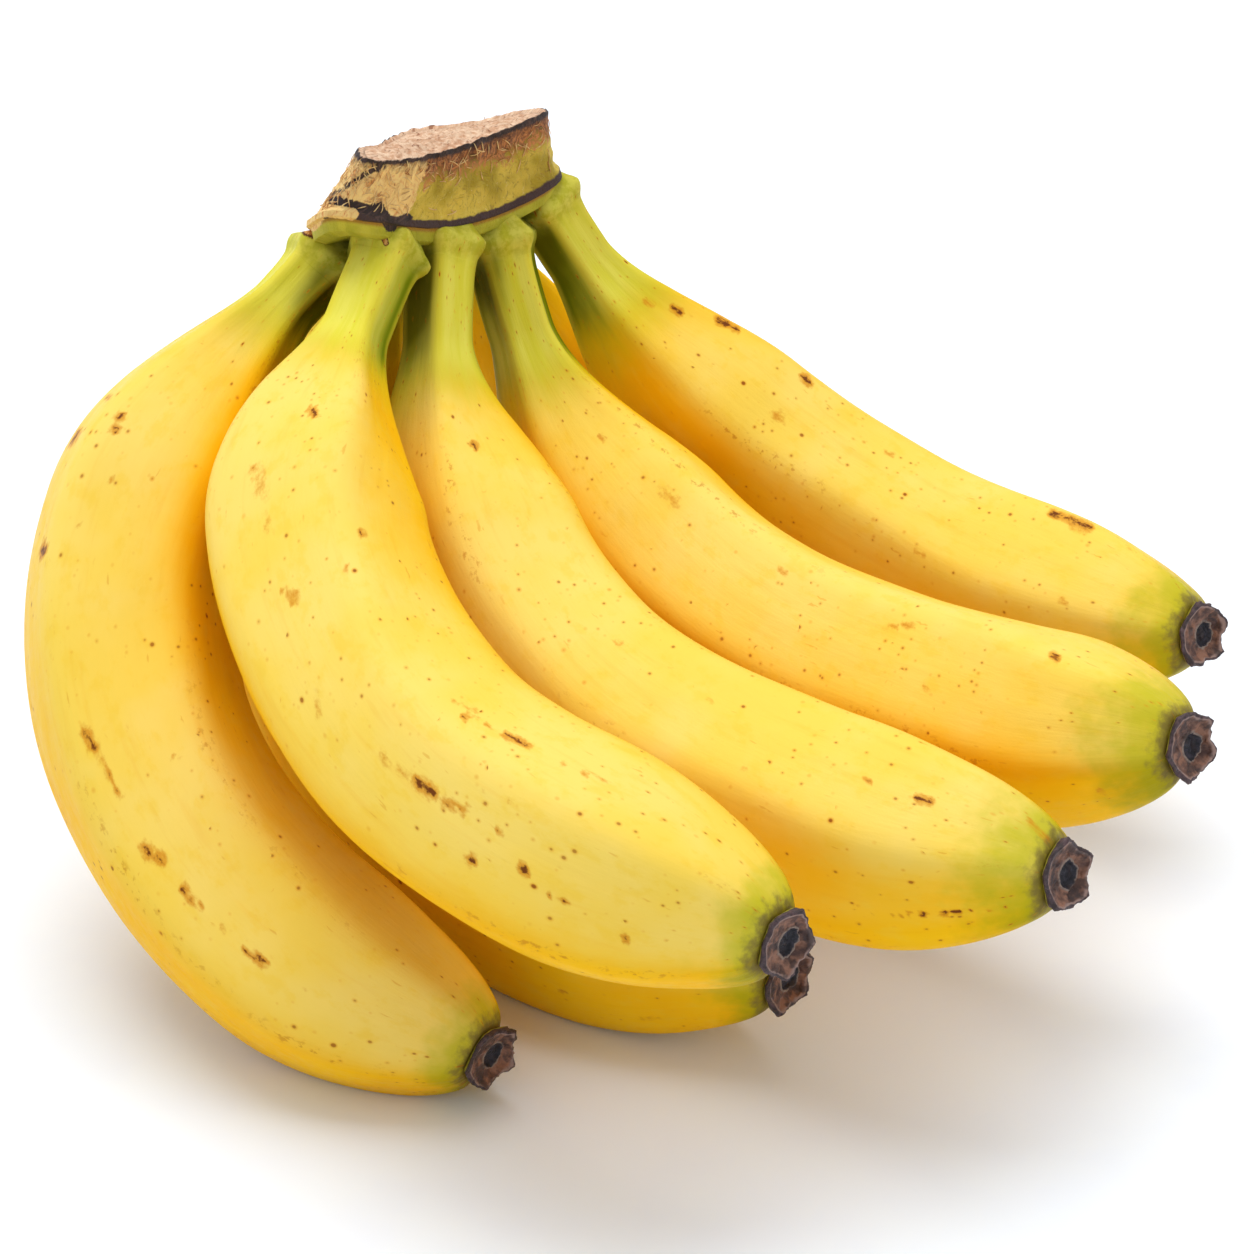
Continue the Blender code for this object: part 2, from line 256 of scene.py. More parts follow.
# Colours read from the photograph, 0 to 255; a pair is the two tones of one surface
YELLOWS = ((247, 184, 8), (248, 192, 16))
# Paler yellows painted on the side turned to the light, a painted highlight
PAINTED_HIGHLIGHT_YELLOWS = ((245, 209, 86), (246, 214, 108))
MOTTLE_LIGHT = (244, 196, 50)
MOTTLE_DEEP = (240, 196, 50)
STREAK_LIGHT = (244, 206, 80)
STREAK_DEEP = (232, 160, 10)
RIDGE_GOLD = (234, 172, 22)
# Deeper gold painted where other fingers would shade the skin, painted shade
PAINTED_SHADE_GOLD = (236, 166, 4)
# Neck greens painted by light: lime on the lit side, deep green on the shaded side, darkest in painted
# shade between necks, and a painted highlight along the ridges
NECK_LIT_LIMES = ((218, 208, 58), (228, 218, 86))
NECK_SHADED_GREENS = ((104, 116, 0), (132, 140, 4))
NECK_PAINTED_SHADE = (92, 88, 0)
NECK_RIDGE_HIGHLIGHT = (226, 204, 60)
NECK_FRINGE = (200, 190, 26)
ROOT_OLIVES = ((164, 160, 40), (202, 194, 84))
# Painted shade and light: the darker green goes on the side away from the light, the lighter on the lit
# side
TIP_SHADED_AND_LIT_GREENS = ((136, 140, 0), (184, 178, 18))
TIP_SMUDGE = (92, 68, 56)
HUSK_TANS = ((176, 112, 52), (222, 172, 104))
HUSK_EDGE = (96, 56, 36)
BRUISE_RING = (208, 128, 20)
BRUISE_CORE = (104, 48, 18)
SCUFF = (190, 112, 20)
SPECK_RING = (222, 140, 22)
SPECK_CORE = (136, 62, 18)
SCRATCH = (214, 140, 24)
FOOT_GREENS = ((150, 140, 14), (180, 168, 36))
RIM_BROWNS = ((46, 29, 30), (84, 60, 62))
# Painted highlight along the inner edge of the blossom end's curled rim
RIM_HIGHLIGHT = (150, 120, 108)
FACE_TANS = ((74, 44, 34), (146, 100, 76))
PIT_EDGE = (140, 118, 104)
PIT_DARKS = ((20, 17, 24), (52, 46, 56))
BLOSSOM_DIRT = (44, 27, 24)
WALL_OLIVES = ((176, 150, 18), (224, 194, 70))
WALL_BROWN_STREAK = (136, 104, 26)
WALL_PALE_STREAK = (232, 212, 140)
FIBRE_BROWNS = ((70, 34, 16), (206, 132, 70))
FIBRE_ORANGES = ((214, 108, 36), (255, 216, 136))
BURNT_DARKS = ((42, 25, 24), (86, 60, 54))
SCORCH = (88, 48, 26)
LIP_DARK = (66, 43, 43)
UNDER_GREENS = ((176, 172, 30), (206, 196, 56))
UNDER_LINE = (168, 124, 34)
CUT_FACES = ((206, 154, 116), (240, 206, 172))
CUT_PIT = (146, 88, 54)
LOOSE_FIBRES = ((180, 118, 58), (240, 206, 140))
FLOOR_COLOURS = ((241, 247, 255), (243, 249, 255))

# How far noise moves the edge of a colour, and how strongly it bends the crown's fibres,
# in millimetres; the green tip's is a share of its length
NECK_GREEN_WANDER = 10.0
ROOT_SCALE_WANDER = 5.0
TIP_GREEN_WANDER = 1.3
SMUDGE_WANDER = 5.0
SWIRL = 16.0

# Specks: cells to a millimetre, size in cells, share of cells that hold one (None where it
# varies over the skin), strength of the ring and of the core
SPECKS = [(0.62, 0.26, None, 0.35, 0.60), (0.33, 0.17, None, 0.45, 0.72),
          (0.14, 0.075, 0.45, 0.60, 0.85)]

# Depths of bumps in millimetres, roughness and gloss
PORE_DEPTH = 0.06
SKIN_FOLD_DEPTH = 0.4
DRIED_GRAIN_DEPTH = 0.5
CROWN_FIBRE_DEPTH = 0.8
CROWN_GRAIN_DEPTH = 0.6
FINE_DEPTH = 0.1
SKIN_ROUGHNESS = (0.36, 0.50)
SKIN_SPECULAR = 0.04
DRIED_ROUGHNESS = 0.6
CROWN_ROUGHNESS = 0.72
FIBRE_ROUGHNESS = 0.7
FLOOR_ROUGHNESS = 0.9


def srgb(colour):
    """Linear colour of a colour read from the photograph, 0 to 255."""
    values = []
    for value in colour:
        share = value / 255
        values.append(share / 12.92 if share <= 0.04045 else ((share + 0.055) / 1.055) ** 2.4)
    return (*values, 1.0)


# Material graphs

class Graph:
    """Short calls for building a material's nodes."""

    def __init__(self, name):
        self.material = bpy.data.materials.new(name)
        self.material.use_nodes = True
        self.tree = self.material.node_tree
        self.shader = self.tree.nodes["Principled BSDF"]

    def add(self, kind, inputs=None, **settings):
        item = self.tree.nodes.new("ShaderNode" + kind)
        for key, value in settings.items():
            setattr(item, key, value)
        for key, value in (inputs or {}).items():
            self.plug(item.inputs[key], value)
        return item

    def plug(self, socket, value):
        if isinstance(value, bpy.types.NodeSocket):
            self.tree.links.new(value, socket)
        else:
            socket.default_value = value

    def read(self, name, kind="Fac"):
        return self.add("Attribute", attribute_name=name).outputs[kind]

    def math(self, operation, first, second=0.0):
        return self.add("Math", {0: first, 1: second}, operation=operation).outputs[0]

    def shift(self, value, noise_value, amount):
        """A value moved by noise, up to half the amount either way."""
        uneven = self.math("SUBTRACT", noise_value, 0.5)
        return self.math("ADD", value, self.math("MULTIPLY", uneven, amount))

    def step(self, value, low, high, to_low=0.0, to_high=1.0):
        """Soft step from one strength to another as a value goes from low to high."""
        item = self.add("MapRange", interpolation_type="SMOOTHSTEP")
        for key, given in (("Value", value), ("From Min", low), ("From Max", high),
                           ("To Min", to_low), ("To Max", to_high)):
            self.plug(item.inputs[key], given)
        return item.outputs["Result"]

    def mix(self, factor, first, second):
        """Mix of two colours; three numbers are a colour from the photograph."""
        item = self.add("Mix", data_type="RGBA")
        self.plug(item.inputs[0], factor)
        for socket, colour in ((item.inputs[6], first), (item.inputs[7], second)):
            self.plug(socket, srgb(colour) if isinstance(colour, tuple) else colour)
        return item.outputs[2]

    def tones(self, value, colours, low=0.35, high=0.65):
        """The first of two colours below low, the second above high."""
        return self.mix(self.step(value, low, high), *colours)

    def layers(self, base, *rows):
        """Colours over the base, each as strong as a soft step of a value."""
        for colour, *step in rows:
            base = self.mix(self.step(*step), base, colour)
        return base

    def vector(self, operation, first, second):
        return self.add("VectorMath", {0: first, 1: second}, operation=operation).outputs[0]

    def stretch(self, vector, x=1.0, y=1.0, z=1.0):
        return self.vector("MULTIPLY", vector, (x, y, z))

    def noise(self, vector, scale, detail=3.0, rough=0.55, output="Fac"):
        inputs = {"Vector": vector, "Scale": scale, "Detail": detail, "Roughness": rough}
        return self.add("TexNoise", inputs).outputs[output]

    def cells(self, vector, scale):
        return self.add("TexVoronoi", {"Vector": vector, "Scale": scale}).outputs

    def bump(self, height, distance, strength=1.0, normal=None):
        inputs = {"Height": height, "Distance": distance * MM, "Strength": strength}
        if normal is not None:
            inputs["Normal"] = normal
        return self.add("Bump", inputs).outputs["Normal"]

    def finish(self, colour, roughness, normal):
        self.plug(self.shader.inputs["Base Color"], colour)
        self.plug(self.shader.inputs["Roughness"], roughness)
        self.plug(self.shader.inputs["Normal"], normal)
        return self.material


def skin_colour(graph, skin):
    """Yellow skin, finely mottled, with painted light: paler on the side turned to the light and deeper
    gold in painted shade between fingers.
    """
    streaks = graph.noise(graph.stretch(skin, z=0.10), 0.40, 4.0, 0.6)
    mottle = graph.noise(graph.stretch(skin, z=0.6), 0.30, 5.0, 0.62)
    blotches = graph.noise(skin, 0.045, 3.0, 0.5)
    yellow = graph.tones(blotches, YELLOWS)
    pale = graph.tones(blotches, PAINTED_HIGHLIGHT_YELLOWS)
    pale = graph.layers(pale, (MOTTLE_DEEP, mottle, 0.32, 0.50, 0.35, 0.0))
    return graph.layers(
        yellow,
        (MOTTLE_LIGHT, mottle, 0.50, 0.68, 0.0, 0.40),
        (RIDGE_GOLD, graph.read("ridge"), 0.7, 1.0, 0.0, 0.30),
        # Painted highlight on the lit side, then painted shade between fingers
        (pale, graph.read("painted_light"), 0.12, 0.90, 0.0, 0.94),
        (PAINTED_SHADE_GOLD, graph.read("painted_shade"), 0.30, 0.90, 0.0, 0.45),
        (STREAK_LIGHT, streaks, 0.55, 0.75, 0.0, 0.15),
        (STREAK_DEEP, streaks, 0.28, 0.45, 0.14, 0.0))


def green_neck(graph, skin, colour):
    """Green neck that turns yellow at the shoulder, scaly olive at its root; its green is painted lime
    on the lit side, deep green in painted shade and paler along the ridges as a painted highlight.
    """
    wander = graph.noise(graph.stretch(skin, z=0.25), 0.16, 3.0)
    tint = graph.layers(
        graph.tones(wander, NECK_SHADED_GREENS),
        (graph.tones(wander, NECK_LIT_LIMES), graph.read("painted_light"), -0.15, 0.45),
        (NECK_PAINTED_SHADE, graph.read("painted_shade"), 0.15, 0.60, 0.0, 0.90),
        (NECK_RIDGE_HIGHLIGHT, graph.read("ridge"), 0.6, 1.0, 0.0, 0.4))
    moved = graph.shift(graph.read("past_green"), wander, NECK_GREEN_WANDER)
    scales = graph.noise(graph.read("place", "Vector"), 0.45, 4.0, 0.65)
    olive = graph.tones(scales, ROOT_OLIVES, 0.40, 0.60)
    from_root = graph.shift(graph.read("from_root"), scales, ROOT_SCALE_WANDER)
    return graph.layers(
        colour,
        (NECK_FRINGE, moved, -2.0, 13.0, 0.65, 0.0),
        (tint, moved, -6.0, 3.5, 1.0, 0.0),
        (olive, from_root, 1.5, 7.5, 0.60, 0.0))


def green_end(graph, colour):
    """Green skin round the blossom end, painted lighter on the lit side and darker on the shaded side,
    with a brown smudge.
    """
    place = graph.read("place", "Vector")
    wander = graph.noise(place, 0.14, 3.0)
    share = graph.shift(graph.read("tip_share"), wander, TIP_GREEN_WANDER)
    green = graph.tones(graph.read("painted_light"), TIP_SHADED_AND_LIT_GREENS, -0.4, 0.8)
    close = graph.shift(graph.read("end_mm"), graph.noise(place, 0.55, 4.0, 0.6), SMUDGE_WANDER)
    return graph.layers(
        colour, (green, share, 0.0, 1.0, 0.80, 0.0), (TIP_SMUDGE, close, -0.6, 2.2, 0.70, 0.0))


def neck_husk(graph, skin, colour):
    """Dry tan scales with a dark edge where the crown meets a neck."""
    grain = graph.noise(graph.stretch(skin, z=0.4), 0.8, 4.0, 0.65)
    husk = graph.shift(graph.read("husk"), grain, 0.5)
    tan = graph.tones(grain, HUSK_TANS, 0.38, 0.62)
    return graph.layers(colour, (HUSK_EDGE, husk, 0.37, 0.53), (tan, husk, 0.59, 0.73))


def bruises(graph, grain, colour):
    """Painted bruises: an orange-brown ring round a dark core."""
    painted = graph.read("bruise")
    bruise = graph.shift(painted, grain, 1.5)
    inside = graph.step(painted, 0.02, 0.3)
    halo = graph.math("MULTIPLY", inside, graph.step(bruise, 0.10, 0.75, 0.0, 0.75))
    core = graph.math("MULTIPLY", inside, graph.step(bruise, 0.72, 1.0, 0.0, 0.95))
    return graph.mix(core, graph.mix(halo, colour, BRUISE_RING), BRUISE_CORE)


def scuffs(graph, skin, grain, colour):
    """Brown rubbed patches along the ridges."""
    patch = graph.noise(graph.stretch(skin, z=0.4), 0.05, 2.0)
    on_ridge = graph.step(graph.read("ridge"), 0.90, 1.0)
    scuff = graph.math("MULTIPLY", graph.step(patch, 0.48, 0.62), on_ridge)
    scuff = graph.math("MULTIPLY", scuff, graph.step(grain, 0.54, 0.66))
    return graph.mix(graph.math("MULTIPLY", scuff, 0.6), colour, SCUFF)


def specks(graph, skin, colour, crowd):
    """Dark dots in soft orange rings, in three sizes."""
    stretched = graph.stretch(skin, z=0.75)
    for scale, size, share, halo, core in SPECKS:
        cells = graph.cells(stretched, scale)
        chance = graph.add("SeparateColor", {0: cells["Color"]})
        reach = graph.math("MULTIPLY", chance.outputs["Green"], size)
        near = graph.math("SUBTRACT", reach, cells["Distance"])
        empty = graph.math("GREATER_THAN", chance.outputs["Red"], share or crowd)
        near = graph.math("DIVIDE", graph.math("SUBTRACT", near, empty), scale)
        colour = graph.layers(colour, (SPECK_RING, near, -0.22, 0.15, 0.0, halo),
                              (SPECK_CORE, near, 0.04, 0.26, 0.0, core))
    return colour


def scratches(graph, skin, colour):
    """Faint bent scratches in a few places."""
    wavy = graph.noise(skin, 0.35, 2.0)
    bent = graph.vector("ADD", skin, wavy)
    scratch = graph.noise(graph.stretch(bent, 1.6, 1.6, 0.22), 0.8, 1.0)
    few = graph.step(graph.noise(skin, 0.10, 2.0), 0.52, 0.62)
    scratched = graph.math("MULTIPLY", graph.step(scratch, 0.70, 0.76), few)
    return graph.mix(graph.math("MULTIPLY", scratched, 0.4), colour, SCRATCH)


def skin_marks(graph, skin, colour):
    """Bruises, ridge scuffs, specks and scratches over the skin colour."""
    grain = graph.noise(graph.stretch(skin, z=0.6), 0.9, 4.0, 0.65)
    crowd = graph.step(graph.noise(skin, 0.06, 3.0, 0.6), 0.40, 0.62, 0.10, 0.75)
    colour = bruises(graph, grain, colour)
    colour = scuffs(graph, skin, grain, colour)
    colour = specks(graph, skin, colour, crowd)
    return scratches(graph, skin, colour)


def skin_material(name):
    graph = Graph(name)
    skin = graph.read("skin", "Vector")
    colour = skin_colour(graph, skin)
    colour = green_neck(graph, skin, colour)
    colour = green_end(graph, colour)
    colour = neck_husk(graph, skin, colour)
    colour = skin_marks(graph, skin, colour)
    gloss = graph.step(graph.noise(skin, 0.5, 3.0), 0.3, 0.7, *SKIN_ROUGHNESS)
    rough = graph.math("ADD", gloss, graph.step(graph.read("painted_shade"), 0.0, 0.25, 0.0, 0.50))
    pores = graph.noise(skin, 2.2, 3.0, 0.6)
    folds = graph.noise(graph.stretch(skin, z=0.12), 0.5, 3.0)
    normal = graph.bump(pores, PORE_DEPTH, 0.5)
    normal = graph.bump(folds, SKIN_FOLD_DEPTH, 0.35, normal)
    graph.shader.inputs["Specular IOR Level"].default_value = SKIN_SPECULAR
    return graph.finish(colour, rough, normal)


def blossom_material():
    """Dried blossom end: green foot, purple-brown rim with a painted highlight on its inner edge, tan
    dished face, dark pit.
    """
    graph = Graph("dried_end")
    place = graph.read("skin", "Vector")
    face = graph.read("face")
    grain = graph.noise(place, 0.9, 4.0, 0.65)
    folds = graph.noise(graph.stretch(place, z=0.3), 0.5, 3.0)
    rim = graph.tones(grain, RIM_BROWNS)
    tan = graph.tones(folds, FACE_TANS)
    pit = graph.tones(grain, PIT_DARKS, 0.40, 0.65)
    green = graph.tones(grain, FOOT_GREENS)
    colour = graph.layers(
        green,
        (rim, graph.shift(face, folds, 0.10), 0.06, 0.13),
        (RIM_HIGHLIGHT, face, 0.37, 0.40),
        (tan, face, 0.41, 0.46),
        (PIT_EDGE, face, 0.66, 0.70),
        (pit, face, 0.73, 0.77))
    dirt = graph.step(graph.noise(place, 0.35, 3.0, 0.6), 0.50, 0.64, 0.0, 0.75)
    dirt = graph.math("MULTIPLY", dirt, graph.step(face, 0.14, 0.30))
    colour = graph.mix(dirt, colour, BLOSSOM_DIRT)
    return graph.finish(colour, DRIED_ROUGHNESS, graph.bump(grain, DRIED_GRAIN_DEPTH, 0.7))


def crown_noises(graph, place):
    """Swirled place, fibres along the swirls, grain and large patches."""
    swirl = graph.noise(place, 0.17, 2.0, 0.5, "Color")
    swung = graph.vector("SUBTRACT", swirl, (0.5, 0.5, 0.5))
    bent = graph.vector("ADD", place, graph.stretch(swung, SWIRL, SWIRL, SWIRL))
    fibres = graph.noise(graph.stretch(bent, z=0.28), 0.95, 5.0, 0.7)
    return bent, fibres, graph.noise(place, 0.7, 4.0, 0.65), graph.noise(place, 0.12, 2.0)


def crown_wall(graph, height, fibres, grain, patch):
    """Olive wall that turns to brown fibres, then to a burnt edge, upwards."""
    brown = graph.tones(fibres, FIBRE_BROWNS, 0.34, 0.62)
    orange = graph.tones(fibres, FIBRE_ORANGES, 0.24, 0.54)
    orange = graph.layers(orange, (brown, patch, 0.34, 0.42, 0.5, 0.0))
    burnt = graph.tones(grain, BURNT_DARKS, 0.45, 0.7)
    under = graph.tones(patch, UNDER_GREENS)
    under = graph.layers(under, (UNDER_LINE, height, -0.16, -0.09))
    ragged = graph.shift(graph.shift(height, fibres, 0.9), patch, 0.5)
    lip = graph.shift(graph.shift(height, grain, 0.05), patch, 0.10)
    return graph.layers(
        graph.tones(patch, WALL_OLIVES, 0.38, 0.62),
        (WALL_BROWN_STREAK, fibres, 0.36, 0.48, 0.50, 0.0),
        (WALL_PALE_STREAK, fibres, 0.62, 0.70, 0.0, 0.8),
        (brown, ragged, 0.56, 0.74),
        (orange, graph.shift(graph.read("dried"), grain, 1.0), 0.40, 0.55),
        (SCORCH, graph.shift(height, grain, 0.45), 0.78, 0.98, 0.0, 0.75),
        (burnt, graph.shift(height, grain, 0.10), 0.91, 0.95),
        (LIP_DARK, lip, 0.055, 0.085, 1.0, 0.0),
        (under, lip, -0.07, -0.03, 1.0, 0.0),
        (burnt, graph.shift(graph.read("burns"), grain, 1.6), 0.45, 0.75),
        (orange, graph.shift(graph.read("husk"), grain, 1.0), 0.30, 0.50))


def crown_material():
    """Crown: wall with its painted marks, and the pale pitted cut face."""
    graph = Graph("crown_skin")
    place = graph.read("skin", "Vector")
    height = graph.read("height")
    bent, fibres, grain, patch = crown_noises(graph, place)
    wall = crown_wall(graph, height, fibres, grain, patch)
    pits = graph.cells(graph.stretch(bent, y=0.5), 0.55)["Distance"]
    cut = graph.tones(grain, CUT_FACES)
    cut = graph.layers(cut, (CUT_PIT, pits, 0.14, 0.34, 0.8, 0.0))
    colour = graph.layers(wall, (cut, graph.shift(height, grain, 0.10), 1.00, 1.04))
    normal = graph.bump(fibres, CROWN_FIBRE_DEPTH, 0.7)
    normal = graph.bump(grain, CROWN_GRAIN_DEPTH, 0.5, normal)
    return graph.finish(colour, CROWN_ROUGHNESS, normal)


def fibre_material():
    """Loose dry fibres on the crown's wall."""
    graph = Graph("dry_fibre")
    grain = graph.noise(graph.read("skin", "Vector"), 0.5, 3.0)
    colour = graph.tones(grain, LOOSE_FIBRES)
    return graph.finish(colour, FIBRE_ROUGHNESS, graph.bump(grain, FINE_DEPTH, 0.3))


def floor_material():
    graph = Graph("pale_floor")
    place = graph.add("TexCoord").outputs["Object"]
    grain = graph.noise(place, 60.0, 2.0)
    colour = graph.tones(grain, FLOOR_COLOURS, 0.3, 0.7)
    return graph.finish(colour, FLOOR_ROUGHNESS, graph.bump(grain, FINE_DEPTH, 0.05))


# Finger shape

def unit(vector):
    return vector / np.linalg.norm(vector, axis=-1, keepdims=True)


def ease(value):
    return np.clip(value, 0.0, 1.0)


def turned(across, side, angle):
    """Directions at an angle round a line, for one pair of axes to each ring."""
    return across[:, None] * np.cos(angle)[..., None] + side[:, None] * np.sin(angle)[..., None]


def even_angles(sides):
    return np.arange(sides) * 2 * math.pi / sides


def route_slopes(points, steps, end_direction):
    """Slopes that join the route's points with an even bend."""
    count = len(points)
    system = np.zeros((count, count))
    wanted = np.zeros((count, 3))
    system[0, :2] = 2.0, 1.0
    wanted[0] = 3.0 * (points[1] - points[0]) / steps[0]
    for i in range(1, count - 1):
        before, after = steps[i - 1], steps[i]
        system[i, i - 1:i + 2] = after, 2.0 * (before + after), before
        rise_before = (points[i] - points[i - 1]) * after / before
        rise_after = (points[i + 1] - points[i]) * before / after
        wanted[i] = 3.0 * (rise_before + rise_after)
    system[-1, -1] = 1.0
    wanted[-1] = end_direction
    return np.linalg.solve(system, wanted)


class Finger:
    """One banana's middle line, radius and ridges, in millimetres."""

    def __init__(self, name):
        route, faces, self.radius, self.neck, ridge, self.green_neck, self.green_tip = FINGERS[name]
        self.name = name
        self.index = list(FINGERS).index(name)
        self.first_ridge = math.radians(ridge)
        self.trace(np.array(route, float) - BUNCH_MIDDLE, unit(np.array(faces)))
        self.body = self.lengths[-1] - BLOSSOM_LENGTH - PIECE_GAP

    def trace(self, points, end_direction):
        steps = np.linalg.norm(np.diff(points, axis=0), axis=1)
        slopes = route_slopes(points, steps, end_direction)
        places = []
        for i, step in enumerate(steps):
            t = np.linspace(0.0, 1.0, ROUTE_SAMPLES // len(steps), endpoint=False)[:, None]
            start = (1 + 2 * t) * (1 - t) ** 2 * points[i] + t * (1 - t) ** 2 * step * slopes[i]
            end = t * t * (3 - 2 * t) * points[i + 1] + t * t * (t - 1) * step * slopes[i + 1]
            places.append(start + end)
        places.append(points[-1:])
        self.places = np.concatenate(places)
        directions = np.gradient(self.places, axis=0)
        directions[-1] = end_direction
        self.directions = unit(directions)
        pieces = np.linalg.norm(np.diff(self.places, axis=0), axis=1)
        self.lengths = np.concatenate([[0.0], np.cumsum(pieces)])

    def between(self, length, vectors):
        return np.stack([np.interp(length, self.lengths, values) for values in vectors.T], -1)

    def at(self, length):
        """Centre, direction along and two directions across, at each length."""
        length = np.atleast_1d(length)
        along = unit(self.between(length, self.directions))
        centre = self.between(length, self.places) + along * np.minimum(length, 0.0)[:, None]
        across = unit(RIDGE_SIDE - along * (along @ RIDGE_SIDE)[:, None])
        return centre, along, across, np.cross(along, across)

    def mean_radius(self, length):
        flare = NECK_FLARE * (1.0 - ease(length / NECK_FLARE_LENGTH)) ** 2
        rise = ease((length - self.neck * SHOULDER_START) / SHOULDER_LENGTH)
        shoulder = np.sin(rise * math.pi / 2) ** SHOULDER_CURVE
        radius = NECK_RADIUS + flare + (self.radius - NECK_RADIUS) * shoulder
        fall = ease((self.body - length) / END_TAPER_LENGTH)
        rounding = np.sin(fall * math.pi / 2) ** END_ROUNDNESS
        return END_RADIUS + (radius - END_RADIUS) * rounding

    def ridge_turn(self, angle, length):
        """Angle counted in ridges; the ridges wander a little."""
        slow = RIDGE_WANDER_SLOW * np.sin(length / 23.0 + self.index * 1.7)
        wander = slow + RIDGE_WANDER_QUICK * np.sin(length / 9.0)
        return RIDGE_COUNT * (angle - self.first_ridge - wander)

    def ridge(self, angle, length):
        """Closeness to a ridge, 0 to 1."""
        return ((1.0 + np.cos(self.ridge_turn(angle, length))) / 2.0) ** RIDGE_WIDTH

    def reach(self, angle, length):
        """Distance of the ridged skin from the middle line."""
        ridge = self.ridge(angle, length)
        relief = RIDGE_HEIGHT * (ridge - RIDGE_BALANCE) + CREST_HEIGHT * (ridge ** 3 - CREST_BALANCE)
        relief = relief * (1.0 + NECK_RIDGES * self.neck_share(length))
        return self.mean_radius(np.maximum(length, 0.0)) * (1.0 + relief)

    def neck_share(self, length):
        """1 on the neck, falling to 0 on the shoulder."""
        return 1.0 - ease((length - self.neck) / NECK_FADE)

    def facing(self, angle, length):
        """Direction of the skin for the painted light, steady across a facet and quick over a ridge."""
        across, side = self.at(length[:, 0])[2:]
        pull = FACET_PULL + NECK_FACET_PULL * self.neck_share(length)
        return turned(across, side, angle + pull * np.sin(self.ridge_turn(angle, length)))

    def relief(self, angle, length):
        """Soft unevenness of the skin, in millimetres."""
        k = self.index
        slow = np.sin(angle * 2 + length / 31.0 + k) * np.sin(length / 17.0 + 2.1 * k)
        quick = np.sin(angle * 3 - length / 11.0 + 1.3 * k) * np.sin(length / 7.3 + k)
        calm = ease((length - self.neck) / 30.0) * ease((self.body - length) / 20.0)
        return (RELIEF_SLOW * slow + RELIEF_QUICK * quick) * calm


def ring_faces(rings, sides, start=0):
    ring = np.arange(rings - 1)[:, None] * sides
    side = np.arange(sides)[None]
    after = (side + 1) % sides
    quads = np.stack([ring + side, ring + after, ring + sides + after, ring + sides + side], -1)
    return quads.reshape(-1, 4) + start


def end_caps(rings, sides, start=0):
    last = start + (rings - 1) * sides
    return [list(range(start, start + sides))[::-1], list(range(last, last + sides))]


def add_object(name, data):
    item = bpy.data.objects.new(name, data)
    bpy.context.scene.collection.objects.link(item)
    return item


def make_mesh(name, places, faces, caps, material, attributes):
    """Object from millimetre positions, with float or vector attributes."""
    mesh = bpy.data.meshes.new(name)
    mesh.from_pydata((places * MM).tolist(), [], faces.tolist() + caps)
    mesh.update()
    for key, values in attributes.items():
        kind, field = ("FLOAT_VECTOR", "vector") if values.ndim == 2 else ("FLOAT", "value")
        layer = mesh.attributes.new(key, kind, "POINT")
        layer.data.foreach_set(field, values.astype(np.float32).ravel())
    mesh.materials.append(material)
    mesh.shade_smooth()
    for polygon in list(mesh.polygons)[len(faces):]:
        polygon.use_smooth = False
    return add_object(name, mesh)


def make_tube(name, places, rings, sides, material, attributes):
    """Closed piece from equal rings of places."""
    faces, caps = ring_faces(rings, sides), end_caps(rings, sides)
    return make_mesh(name, places, faces, caps, material, attributes)


def camera_axes():
    tilt = math.radians(CAMERA_HEIGHT_ANGLE)
    back = np.array([0.0, -math.cos(tilt), math.sin(tilt)])
    up = np.array([0.0, math.sin(tilt), math.cos(tilt)])
    return np.array([1.0, 0.0, 0.0]), up, back


def photo_pixels(places):
    """Where each place falls in the photograph, in pixels."""
    right, up, back = camera_axes()
    seen = places - np.array(CAMERA_AIM) - back * CAMERA_DISTANCE
    depth = -(seen @ back)
    scale = PHOTO_WIDTH * CAMERA_LENS / SENSOR_WIDTH / depth
    middle = PHOTO_WIDTH / 2
    return np.stack([middle + seen @ right * scale, middle - seen @ up * scale], -1)


def mark_strength(marks, places, outward):
    """Soft marks on the side that the photograph shows, 0 to about 1."""
    pixels = photo_pixels(places)
    facing = ease((outward @ camera_axes()[2] - MARK_EDGE) / MARK_FADE)
    strength = np.zeros(len(places))
    for x0, y0, x1, y1, width, dark in marks:
        start = np.array([x0, y0], float)
        span = np.array([x1 - x0, y1 - y0], float)
        share = ease((pixels - start) @ span / max(span @ span, 1.0))
        away = np.linalg.norm(pixels - start - share[:, None] * span, axis=1)
        strength = np.maximum(strength, dark * ease(MARK_FULL - away / width))
    return strength * facing


def crevice_shade(finger, places, outward):
    """How far the other bananas close in over each place, 0 to 1, for painted shade."""
    cover = np.zeros(len(places))
    for name in FINGERS:
        if name == finger.name:
            continue
        other = Finger(name)
        nearest = np.zeros(len(places))
        sizes = other.mean_radius(other.lengths)
        for spot, size in list(zip(other.places, sizes))[::SHELTER_STRIDE]:
            way = spot - places
            far = np.linalg.norm(way, axis=1)
            facing = ease((way * outward).sum(1) / far / SHELTER_SPREAD + SHELTER_SIDEWAYS)
            nearest = np.maximum(nearest, facing * ease(1.0 - (far - size) / SHELTER_REACH))
        cover = cover + nearest
    return ease(cover)


